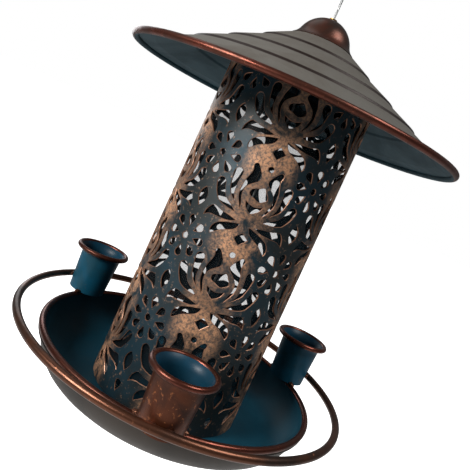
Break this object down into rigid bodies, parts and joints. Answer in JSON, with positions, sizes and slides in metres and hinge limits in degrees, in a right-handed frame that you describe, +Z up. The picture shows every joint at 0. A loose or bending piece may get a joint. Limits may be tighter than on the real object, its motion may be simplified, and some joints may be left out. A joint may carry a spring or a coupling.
{
  "type": "hanging bird feeder",
  "caption": "Hanging bird feeder: pierced steel seed tube in a round tray with perch ring and treat cups, under a stepped cone roof that slides and turns on its cable.",
  "frame": {"origin": "inner top of the cable loop, the point that a hook carries", "axes": "+Z up along the cable, -Y towards the front treat cup, +X to the right"},
  "size_m": [0.226, 0.2274, 0.3586],
  "materials": {
    "tray_steel": "aged dark bronze outside, deep blue-black inside",
    "wire": "plain drawn wire",
    "tube_steel": "dark bronze with copper rubbed through on the raised parts",
    "plated_steel": "bright zinc plate",
    "clear_plastic": "clear, faintly grey",
    "ring_bronze": "brown bronze, copper where rubbed",
    "cup_copper": "mottled brown copper outside, blue-black inside",
    "cable_steel": "galvanised wire rope",
    "ferrule_aluminium": "crimped",
    "brass": "turned",
    "copper": "peened heads",
    "roof_steel": "satin gunmetal with brown in the steps, blue-black below",
    "dome_copper": "dark copper brown, satin"
  },
  "bodies": {
    "feeder": {"tray_dish": "tray_steel", "tray_rim_wire": "wire", "pierced_tube": "tube_steel", "seam_strip": "tube_steel", "seam_rivets": "copper", "tube_foot_1": "plated_steel", "tube_foot_2": "plated_steel", "tube_foot_3": "plated_steel", "foot_rivets": "plated_steel", "clear_seed_sleeve": "clear_plastic", "perch_ring": "ring_bronze", "treat_cup_front": "cup_copper", "treat_cup_right": "cup_copper", "treat_cup_left": "cup_copper", "cup_ring_welds": "ring_bronze", "cup_tray_welds": "ring_bronze", "cable_stud": "plated_steel", "stud_washer_upper": "plated_steel", "stud_washer_lower": "plated_steel", "stud_nut": "plated_steel", "hanging_cable": "cable_steel", "loop_ferrule": "ferrule_aluminium"},
    "bush": {"cap_bush": "brass", "bush_clip": "plated_steel"},
    "roof": {"roof_cone": "roof_steel", "roof_rim_wire": "wire", "dome_cap": "dome_copper"}
  },
  "joints": [
    {"name": "roof_lift", "type": "slide", "parent": "feeder", "child": "bush", "axis": [0, 0, 1], "range_m": [0, 0.0385]},
    {"name": "roof_spin", "type": "hinge", "parent": "bush", "child": "roof", "pos_m": [0, 0, -0.08607], "axis": [0, 0, 1], "continuous": true}
  ]
}
